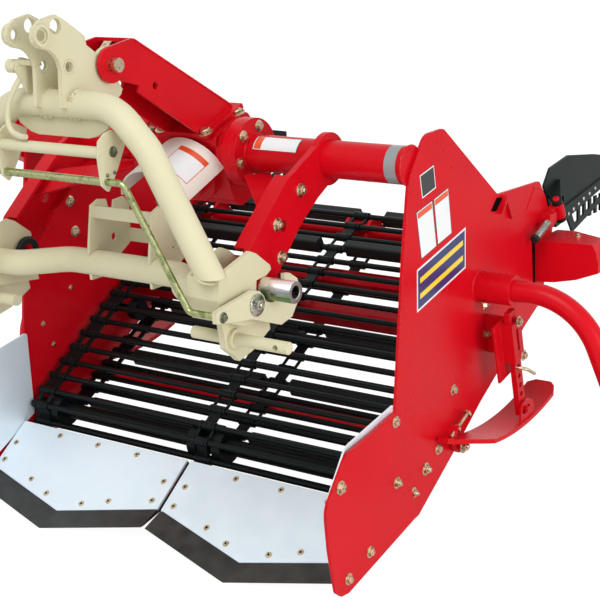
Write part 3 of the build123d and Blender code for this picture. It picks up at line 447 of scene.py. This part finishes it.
def rubber(name, colour, dusty):
    """Moulded rubber: matt, faintly dusty, with a grain about 1 mm apart."""
    made, tree, where = blank_material(name)
    grain = put(tree, "TexNoise", {"Vector": where, "Scale": per_metre(1.4), "Detail": 3.0})[0]
    dust = put(tree, "TexNoise", {"Vector": where, "Scale": per_metre(25), "Detail": 4.0})[0]
    tone = put(tree, "Mix", {0: dust, 6: linear(colour), 7: linear(dusty)}, data_type="RGBA")[2]
    relief = put(tree, "Bump", {"Height": grain, "Strength": 0.3, "Distance": 0.0003})[0]
    shader = put(tree, "BsdfPrincipled", {"Base Color": tone, "Roughness": 0.55, "IOR": 1.35,
                                          "Normal": relief})
    put(tree, "OutputMaterial", {"Surface": shader[0]})
    return made


RUBBER = rubber("moulded_rubber", "#101616", "#1C2323")
dress(RUBBER, "web_flights")
finish_piece("hitch_pin_seals", seals, RUBBER)


def middles(name):
    """The middle of each separate solid in a CAD node."""
    mesh = bmesh.new()
    mesh.from_mesh(nodes[name].data)
    bmesh.ops.remove_doubles(mesh, verts=mesh.verts[:], dist=1e-6)
    left, found = set(mesh.verts), []
    for first in mesh.verts:   # in the mesh's own order, so that every run gives the same pieces
        if first not in left:
            continue
        left.remove(first)
        heap, group = [first], []
        while heap:
            vert = heap.pop()
            group.append(vert.co.copy())
            for edge in vert.link_edges:
                other = edge.other_vert(vert)
                if other in left:
                    left.remove(other)
                    heap.append(other)
        low = Vector([min(c[i] for c in group) for i in range(3)])
        high = Vector([max(c[i] for c in group) for i in range(3)])
        found.append((low + high) / 2)
    mesh.free()
    return found


rivets = bmesh.new()
for bar in middles("web_bars"):
    for s in (-1, 1):
        turn(rivets, bar + Vector((s * 0.4615, 0, 0)), (s, 0, 0),
             ((8.4, 0), (8.4, 1.2), (6.6, 2.6), (3.0, 3.4)), 16)
finish_piece("web_rivets", rivets, BLACK_DIP)
eyes = bmesh.new()
# middle of a link's eye on the bar, its half width
EYES = (
    (14, 12.6), (-3, 3), (31, 3), (438, 9), (422.5, 5), (453.5, 5), (-438, 9), (-422.5, 5), (-453.5, 5),
)
for bar in middles("web_bars"):
    for x, half in EYES:
        turn(eyes, bar + Vector((x / 1000, 0, 0)), (1, 0, 0),
             ((8.9, -half), (9.6, -half + 0.7), (9.6, half - 0.7), (8.9, half)), 14)
for roller in middles("web_rollers"):
    for s in (-1, 1):
        turn(eyes, roller + Vector((s * 0.4695, 0, 0)), (s, 0, 0),
             ((9.2, -2), (9.2, 0), (13.5, 0), (13.5, 4.6), (12.8, 5.3)), 24)
finish_piece("web_link_eyes", eyes, BLACK_DIP)

# Drive covers: a pressed chain case on the left wall and a shaft cover on the right one, both
# sprayed red and held by small flanged bolts.
dress(RED, "chain_case", "shaft_cover")
bolts = bmesh.new()
for station, height in ((302, 810), (240, 745), (560, 655), (520, 590), (846, 512), (800, 430)):
    seat = on_surface(("chain_case",), spot(-700, station, height), (1, 0, 0))
    if seat:
        bolt(bolts, seat[0], (-1, 0, 0), 10)
seat = on_surface(("shaft_cover",), spot(548, 854, 700), (0, 0, -1))
if seat:
    bolt(bolts, seat[0], seat[1], 10)
finish_piece("cover_bolts", bolts, YELLOW_ZINC)

# Quick coupler: an arch of bent tube with mast plates, a cranked lower tube and two side boxes,
# all welded and sprayed in cream enamel.
CREAM = enamel("cream_alkyd_enamel", "#DBD7B8", "#CFC8A5", "#B08A5A", gloss=0.3)
dress(CREAM, "coupler_arch", "mast_plates", "coupler_tube", "side_box_left", "side_box_right",
      "link_pins", "lock_hooks", "joint_bracket")
ARCH_STATION, ARCH_HEIGHT, ARCH_R = -65, 878, 24.6      # the arch's top, and its welds' radius


def round_arch(x, degrees, radius=ARCH_R):
    """A point round the arch's top tube, the angle measured from straight up towards the front."""
    a = math.radians(degrees)
    return spot(x, ARCH_STATION - radius * math.sin(a), ARCH_HEIGHT + radius * math.cos(a))


welds = bmesh.new()
for s in (-1, 1):
    weld(welds, ring_points(spot(s * 257.6, -12, 560), (1, 0, 0), 25), closed=True)
    for x in (26, 34):
        weld(welds, [round_arch(s * x, degrees) for degrees in range(-60, 110, 10)], 2.2)
    weld(welds, [spot(s * x, -68, 853.5) for x in (30, 60)], 2.4)
    weld(welds, [spot(s * (300 - 17 * c), ARCH_STATION + 25 * math.sin(a), 606 + 9 * c)
                 for a, c in [(math.radians(d), math.cos(math.radians(d)))
                              for d in range(0, 360, 12)]], 2.2, True)
chance = random.Random(4)
# x of the first bead, distance to the next, how many, degrees where they start and end
HAND_WELDS = ((35, 3.2, 4, -12, 66), (-44, 3.4, 8, 150, 208), (22, 3.4, 9, 150, 208))
BEAD_POINTS = 15
for x, step, passes, start, end in HAND_WELDS:
    for k in range(passes):
        bead = []
        for i in range(BEAD_POINTS):
            degrees = start + (end - start) * i / (BEAD_POINTS - 1) + chance.uniform(-3, 3)
            radius = ARCH_R + chance.uniform(-0.8, 1.2)
            bead.append(round_arch(x + step * k + chance.uniform(-1.2, 1.2), degrees, radius))
        wire(welds, bead, chance.uniform(1.7, 2.8), 8, ripple=0.3)
finish_piece("coupler_welds", welds, CREAM)
bushings = bmesh.new()
for x in (-34.6, 25.4):
    for station, height, bore in ((-134, 1000, 9.2), (-75, 943, 8.8)):
        turn(bushings, spot(x, station, height), (1, 0, 0),
             ((bore, 0), (12.5, 0), (12.5, 9.2), (bore, 9.2)), 32, True)
finish_piece("mast_bushings", bushings, CREAM)

# Mast latch: a folded cream strap on the mast's left plate with a turned knob, and a bent rod
# that runs down in front of the arch to the left lever.
latch = bmesh.new()


def prism(mesh, corners, push):
    """A flat plate: its outline in metres and the way and distance it is pushed."""
    low = [mesh.verts.new(c) for c in corners]
    high = [mesh.verts.new(c + push) for c in corners]
    mesh.faces.new(low[::-1])
    mesh.faces.new(high)
    for i in range(len(corners)):
        j = (i + 1) % len(corners)
        mesh.faces.new((low[i], low[j], high[j], high[i]))


prism(latch, [spot(-52, *p) for p in ((-114, 938), (-110, 954), (-100, 959), (-70, 950), (-62, 900),
                                      (-66, 892), (-92, 898))], Vector((-0.005, 0, 0)))
prism(latch, [spot(-34.7, *p) for p in ((-108, 956), (-72, 950), (-70, 942), (-106, 946))],
      Vector((-0.02, 0, 0)))
turn(latch, spot(-57, -104, 944), (-1, 0, 0), ((9, 0), (9, 6), (12, 8), (12, 20), (10, 22)), 24)


def smooth_line(corners, steps=8):
    """Points on a smooth curve that passes through its corners."""
    found = []
    full = [corners[0]] + corners + [corners[-1]]
    for a, b, c, d in zip(full, full[1:], full[2:], full[3:]):
        for i in range(steps):
            t = i / steps
            found.append(0.5 * ((2 * b) + (c - a) * t + (2 * a - 5 * b + 4 * c - d) * t * t
                                + (3 * b - a - 3 * c + d) * t ** 3))
    return found + [corners[-1]]


wire(latch, smooth_line([spot(-58, -100, 924), spot(-72, -104, 905), spot(-86, -106, 880),
                         spot(-92, -107, 852), spot(-84, -108, 832), spot(-62, -108, 824),
                         spot(-50, -108, 824)]), 5.2, 14)
finish_piece("mast_latch", latch, CREAM)
clip = bmesh.new()
for corners in (((29, 945), (59, 973), (65, 971), (36, 940)),
                ((59, 973), (79, 971), (76, 965), (65, 967))):
    prism(clip, [spot(-9, *p) for p in corners], Vector((0.018, 0, 0)))
finish_piece("hitch_pin_clip", clip, YELLOW_ZINC)

# Lock linkage: levers, a turning spindle, a draw rod and two bent pull rods that lift the lock
# hooks. The rods are zinc plated, and the pull rods have an olive green passivation.
OLIVE_ZINC = plated("olive_passivated_zinc", ("#84905C", "#B4B888", "#98A06C"), 0.3, cast=14)
DULL_ZINC = plated("weathered_zinc", ("#4E5546", "#8B8E78", "#6A6F5C"), 0.36, cast=9)
BRIGHT_ZINC = plated("bright_zinc", ("#74756C", "#C6C5BA", "#9A988C"), 0.26, cast=8)
dress(OLIVE_ZINC, "lock_rods")
dress(CREAM, "lock_linkage")
bolts = bmesh.new()
for s in (-1, 1):
    bolt(bolts, spot(s * 122, -78, 805), (s, 0, 0), 11, 3)
    for station, height in ((-96, 768), (-78, 770)):
        turn(bolts, spot(s * 122, station, height), (s, 0, 0), ((3.4, 0), (3.2, 1.4), (1.6, 2.2)), 12)
    bolt(bolts, spot(s * 344, -83, 546), (s, 0, 0), 11)
finish_piece("coupler_bolts", bolts, DULL_ZINC)
bolts = bmesh.new()
for s in (-1, 1):
    turn(bolts, spot(s * 344, 8, 545), (s, 0, 0),
         ((17, 0), (19.5, 0.6), (19.5, 2.4), (18, 3.2), (12, 3.2), (12, 1.6)), 40)
    bolt(bolts, spot(s * 345.6, 8, 545), (s, 0, 0), 17, 4)
finish_piece("hook_bolts", bolts, BRIGHT_ZINC)

# Skids: bent flat bars of red steel that slide along the ground, each set by a drilled post in
# a guide on the side wall. A cross pin holds the post, lugs stand on the wall, and black films
# on the wall are painted shade in each slot.
dress(RED, "skid_left", "skid_right", "skid_post_left", "skid_post_right",
      "side_fittings_left", "side_fittings_right")
for side, s in (("left", -1), ("right", 1)):
    bolts = bmesh.new()
    bolt(bolts, spot(s * 505, 434, 172), (s, 0, 0), 17, 4)
    for station, height in ((545, 398), (567, 322)):
        seat = on_surface((f"side_fittings_{side}",), spot(s * 640, station + 22, height),
                          (-s, 0, 0))
        if seat:
            bolt(bolts, seat[0], (s, 0, 0), 13)
    bolt(bolts, spot(s * 500, 530, 436), (0, -0.45, -0.9), 13, 5)
    cross_pin = [spot(s * 548, 570, 301), spot(s * 562, 573, 300), spot(s * 571, 581, 296),
                 spot(s * 578, 596, 285)]
    wire(bolts, smooth_line(cross_pin), 3.6, 14)
    head = spot(s * 496, 468, 229)
    foot = spot(s * 496, 400, 200)
    wire(bolts, [foot, head], 4, 16)
    way = (head - foot).normalized()
    turn(bolts, head - way * 0.006, way, ((8.6, 0), (8.6, 5), (7.4, 6.5)), 6)
    turn(bolts, foot.lerp(head, 0.3), way, ((9.5, 0), (9.5, 1.6), (7.6, 1.6), (7.6, 7)), 6)
    finish_piece(f"fitting_bolts_{side}", bolts, YELLOW_ZINC)
    lugs = bmesh.new()
    # how far each lug stands out in metres, and its corners
    for out, corners in ((0.022, ((394, 186), (399, 184), (424, 216), (419, 219))),
                         (0.012, ((642, 629), (648, 627), (624, 596), (618, 598))),
                         (0.007, ((644, 630), (650, 628), (676, 579), (671, 577)))):
        prism(lugs, [spot(s * WALL, *corner) for corner in corners], Vector((s * out, 0, 0)))
    finish_piece(f"wall_lugs_{side}", lugs, RED)
    # Painted shade: black films laid on the wall where each slot would hold shade.
    slot_shade = bmesh.new()
    slot_shade_outlines = [((617, 630), (641, 626), (616, 603), (592, 607))]
    if s > 0:
        slot_shade_outlines.append(((773, 512), (787, 509), (795, 416), (781, 415)))
    for corners in slot_shade_outlines:
        prism(slot_shade, [spot(s * WALL, *corner) for corner in corners], Vector((s * 0.0004, 0, 0)))
    finish_piece(f"wall_slot_shade_{side}", slot_shade, PAINTED_SHADE)

# Wing springs: closed coils of bright spring wire round the rods below the wing hinges, held
# by a black rubber buffer, which lets a wing give way to a stone.
SPRING_STEEL = plated("bright_spring_steel", ("#9A9C98", "#C9CBC6", "#A8A9A2"), 0.25, cast=12)
COIL_TURNS, COIL_SIDES, COIL_R = 12, 16, 0.0078
coils = bmesh.new()
buffers = bmesh.new()
for s, lift in ((-1, 56), (1, 0)):
    top, low = spot(s * 501, 806, 544 + lift), spot(s * 501, 752, 522.5 + lift)
    axis = (low - top).normalized()
    across = axis.orthogonal().normalized()
    other = axis.cross(across)
    points = []
    for i in range(COIL_TURNS * COIL_SIDES + 1):
        a = math.tau * i / COIL_SIDES
        out = (across * math.cos(a) + other * math.sin(a)) * COIL_R
        points.append(top.lerp(low, i / (COIL_TURNS * COIL_SIDES)) + out)
    wire(coils, points, 1.35, 8)
    turn(buffers, low, axis, ((9.5, 0), (9.5, 5), (8.5, 9), (5, 9.6)), 28)
    turn(buffers, top, axis, ((6.3, 0), (6.3, (low - top).length * 1000 + 1)), 20)
finish_piece("wing_springs", coils, SPRING_STEEL)
finish_piece("spring_buffers", buffers, RUBBER)

# Parking legs: bent tube in sleeves on the side walls, with square foot plates welded on. They
# are sprayed in the same red enamel as the walls.
dress(RED, "leg_left", "leg_right")

# Rear wings: plates in black enamel with fingers below, hinged behind the walls. A row of rivets
# holds each wing's fingers, and rides on the wing.
# The lighter edge colour is rubbed paint and also a painted edge highlight.
BLACK = enamel("black_enamel", "#17221F", "#101817", "#3A4644", gloss=0.3)
dress(BLACK, "wing_left", "wing_right")
WING_RIVETS = ((971, 528), (1000, 533), (1030, 539), (1060, 545), (1095, 550), (1130, 556))
for side, s in (("left", -1), ("right", 1)):
    bolts = bmesh.new()
    for station, height in WING_RIVETS:
        seat = on_surface((f"wing_{side}",), spot(s * 600, station, height), (-s, 0, 0))
        if seat:
            turn(bolts, seat[0], seat[1], ((4.4, 0), (4.4, 1), (3.4, 2.4), (1.4, 3)), 14)
    finish_piece(f"wing_rivets_{side}", bolts, SPRING_STEEL, f"wing_{side}_body")

# Blank labels: printed vinyl film on the right wall, with nothing lettered on it. The long one
# is blue with a white rim and two yellow stripes.


def vinyl(name, colour):
    """Printed vinyl film: even colour under a clear gloss, with the faintest ripple."""
    made, tree, where = blank_material(name)
    ripple = put(tree, "TexNoise", {"Vector": where, "Scale": per_metre(18), "Detail": 2.0})[0]
    tone = put(tree, "Mix", {0: ripple, 6: linear(colour), 7: linear(colour)}, data_type="RGBA")[2]
    relief = put(tree, "Bump", {"Height": ripple, "Strength": 0.08, "Distance": 0.0003})[0]
    shader = put(tree, "BsdfPrincipled", {"Base Color": tone, "Roughness": 0.3, "IOR": 1.5,
                                          "Coat Weight": 0.3, "Coat Roughness": 0.1,
                                          "Normal": relief})
    put(tree, "OutputMaterial", {"Surface": shader[0]})
    return made


RIM_PROUD, FILM_PROUD, PRINT_PROUD = 0.2, 0.35, 0.5      # how far each layer stands out, in mm


def film(name, corners, proud, material):
    """A film with its corners at stations and heights on the right wall, so many mm proud."""
    mesh = bmesh.new()
    top = [mesh.verts.new(spot(WALL + proud, *corner)) for corner in corners]
    foot = [mesh.verts.new(spot(WALL + 0.01, *corner)) for corner in corners]
    mesh.faces.new(top)
    for i in range(len(corners)):
        j = (i + 1) % len(corners)
        mesh.faces.new((top[i], foot[i], foot[j], top[j]))
    finish_piece(name, mesh, material)


def part_of(corners, left, right, low, high):
    """The part of a four-cornered label between shares of its width and its height."""
    a, b, c, d = [Vector(corner) for corner in corners]
    found = []
    for across, up in ((left, high), (right, high), (right, low), (left, low)):
        found.append(tuple(d.lerp(c, across).lerp(a.lerp(b, across), up)))
    return found


WHITE_FILM = vinyl("white_vinyl", "#EDF1F2")
BLUE_FILM = vinyl("blue_vinyl", "#1F2F6B")
YELLOW_FILM = vinyl("yellow_vinyl", "#F2D33B")
DARK_FILM = vinyl("dark_vinyl", "#262C2B")
ORANGE_FILM = vinyl("orange_vinyl", "#E4542A")
# corners: top front, top rear, bottom rear, bottom front
LONG_LABEL = ((308, 553), (490, 596), (489, 516), (306, 473))
DARK_LABEL = ((323, 724), (373, 735), (380, 692), (331, 681))
PALE_LABELS = (((308, 660), (366, 672), (380, 582), (324, 569)),
               ((371, 673), (425, 685), (437, 595), (384, 583)))
film("long_label_rim", LONG_LABEL, RIM_PROUD, WHITE_FILM)
film("long_label", part_of(LONG_LABEL, 0.02, 0.98, 0.05, 0.95), FILM_PROUD, BLUE_FILM)
for k, (low, high) in enumerate(((0.25, 0.38), (0.62, 0.75))):
    film(f"label_stripe_{k}", part_of(LONG_LABEL, 0.06, 0.94, low, high), PRINT_PROUD, YELLOW_FILM)
film("dark_label_rim", DARK_LABEL, RIM_PROUD, WHITE_FILM)
film("dark_label", part_of(DARK_LABEL, 0.04, 0.96, 0.05, 0.95), FILM_PROUD, DARK_FILM)
for k, label in enumerate(PALE_LABELS):
    film(f"pale_label_rim_{k}", label, RIM_PROUD, DARK_FILM)
    film(f"pale_label_{k}", part_of(label, 0.03, 0.97, 0.02, 0.98), FILM_PROUD, WHITE_FILM)
    film(f"pale_label_head_{k}", part_of(label, 0.06, 0.94, 0.84, 0.96), PRINT_PROUD, ORANGE_FILM)

# Tube and guard labels: the same blank film bent round the cross tube and the shaft guard, and
# a grey tape round the tube's right end.


def bent_film(name, centre, along, up, radius, reach, arc, material):
    """A film bent round an axis: reach along it in mm, arc in degrees from its side to its top."""
    mesh = bmesh.new()
    along, up = Vector(along).normalized(), Vector(up).normalized()
    side = up.cross(along)
    rows = []
    steps = 24
    for i in range(steps + 1):
        a = math.radians(arc[0] + (arc[1] - arc[0]) * i / steps)
        out = side * math.cos(a) + up * math.sin(a)
        rows.append([mesh.verts.new(centre + (along * x + out * size) / 1000)
                     for x, size in ((reach[0], radius - 0.2), (reach[0], radius), (reach[1], radius),
                                     (reach[1], radius - 0.2))])
    for low, high in zip(rows, rows[1:]):
        for k in range(3):
            mesh.faces.new((low[k], low[k + 1], high[k + 1], high[k]))
    finish_piece(name, mesh, material)


TUBE = spot(0, TUBE_STATION, TUBE_HEIGHT)
GREY_TAPE = vinyl("grey_tape", "#8E9294")
for name, reach, arc, radius, material in (
        ("tube_label_rim", (-250, -146), (20, 72), 35.3, DARK_FILM),
        ("tube_label", (-248, -148), (21.5, 70.5), 35.5, WHITE_FILM),
        ("tube_label_head", (-166, -150), (23.5, 68.5), 35.7, ORANGE_FILM),
        ("tube_tape", (-464, -440), (-60, 160), 35.3, GREY_TAPE)):
    bent_film(name, TUBE, (-1, 0, 0), (0, 0, 1), radius, reach, arc, material)
GUARD = spot(0, 272.5, 694.7)
AHEAD, ABOVE = (0, -0.9285, -0.3714), (0, -0.3714, 0.9285)
for name, reach, arc, radius, material in (
        ("guard_label_rim", (24, 98), (34, 78), 86.3, ORANGE_FILM),
        ("guard_label", (25.5, 96.5), (35, 77), 86.5, WHITE_FILM),
        ("guard_label_head", (25.5, 38), (35, 77), 86.7, ORANGE_FILM)):
    bent_film(name, GUARD, AHEAD, ABOVE, radius, reach, arc, material)

# Studio: a plain pale floor under two large soft lamps and an even sky. What the camera and the
# gloss see beyond the machine is white, and the floor keeps a soft shadow.
FLOOR_HALF = 40     # metres
mesh = bmesh.new()
for x, y in ((-1, -1), (1, -1), (1, 1), (-1, 1)):
    mesh.verts.new((x * FLOOR_HALF, y * FLOOR_HALF, 0))
mesh.faces.new(mesh.verts)
data = bpy.data.meshes.new("floor")
mesh.to_mesh(data)
mesh.free()
floor = bpy.data.objects.new("floor", data)
bpy.context.scene.collection.objects.link(floor)
paper, tree, where = blank_material("pale_floor")
seen = put(tree, "LightPath")
lit = put(tree, "BsdfDiffuse", {"Color": linear("#F4F4F2")})[0]
white = put(tree, "Emission", {"Color": (1, 1, 1, 1), "Strength": 1.25})[0]
camera_share = put(tree, "Math", {0: seen["Is Camera Ray"], 1: 0.76}, operation="MULTIPLY")[0]
both = put(tree, "MixShader", {0: camera_share, 1: lit, 2: white})[0]
put(tree, "OutputMaterial", {"Surface": both})
data.materials.append(paper)

world = bpy.data.worlds.new("sky")
bpy.context.scene.world = world
world.use_nodes = True
tree = world.node_tree
tree.nodes.clear()
seen = put(tree, "LightPath")
direct = put(tree, "Math", {0: seen["Is Camera Ray"], 1: seen["Is Glossy Ray"]},
             operation="MAXIMUM")[0]
direct = put(tree, "Math", {0: direct, 1: seen["Is Transmission Ray"]}, operation="MAXIMUM")[0]
soft = put(tree, "Background", {"Color": (1, 1, 1, 1), "Strength": 0.56})[0]
plain = put(tree, "Background", {"Color": (1, 1, 1, 1), "Strength": 1.0})[0]
both = put(tree, "MixShader", {0: direct, 1: soft, 2: plain})[0]
put(tree, "OutputWorld", {"Surface": both})


def lamp(name, at, aim, size, power):
    """A square soft lamp aimed at a point."""
    data = bpy.data.lights.new(name, "AREA")
    data.size = size
    data.energy = power
    made = bpy.data.objects.new(name, data)
    made.location = at
    made.rotation_euler = (Vector(aim) - Vector(at)).to_track_quat("-Z", "Y").to_euler()
    bpy.context.scene.collection.objects.link(made)


MACHINE_MIDDLE = (0, 0, 0.4)
LAMP_SIZE = 2.6
lamp("key", (0.5, -3.4, 4.2), MACHINE_MIDDLE, LAMP_SIZE, 102)
lamp("fill", (4.4, -1.0, 1.1), MACHINE_MIDDLE, LAMP_SIZE, 86)

# Camera: it stands ahead of the right front corner, a little above the machine, and looks down
# on it at about 16 degrees.
camera_data = bpy.data.cameras.new("camera")
camera = bpy.data.objects.new("camera", camera_data)
bpy.context.scene.collection.objects.link(camera)
bpy.context.scene.camera = camera
azimuth, elevation, roll = math.radians(33.681), math.radians(16.449), math.radians(-1.6605)
back = Vector((math.sin(azimuth) * math.cos(elevation), -math.cos(azimuth) * math.cos(elevation),
               math.sin(elevation)))
right = Vector((math.cos(azimuth), math.sin(azimuth), 0))
up = back.cross(right)
level = Matrix((right, up, back)).transposed()
camera.matrix_world = (Matrix.Translation((1.7479, -2.3039, 1.1833))
                       @ (level @ Matrix.Rotation(roll, 3, "Z")).to_4x4())
camera_data.sensor_width = 36
camera_data.lens = 83.31
camera_data.shift_x = -0.1
camera_data.shift_y = 0.0333
camera_data.clip_end = 200
bpy.context.scene.view_settings.view_transform = "Standard"
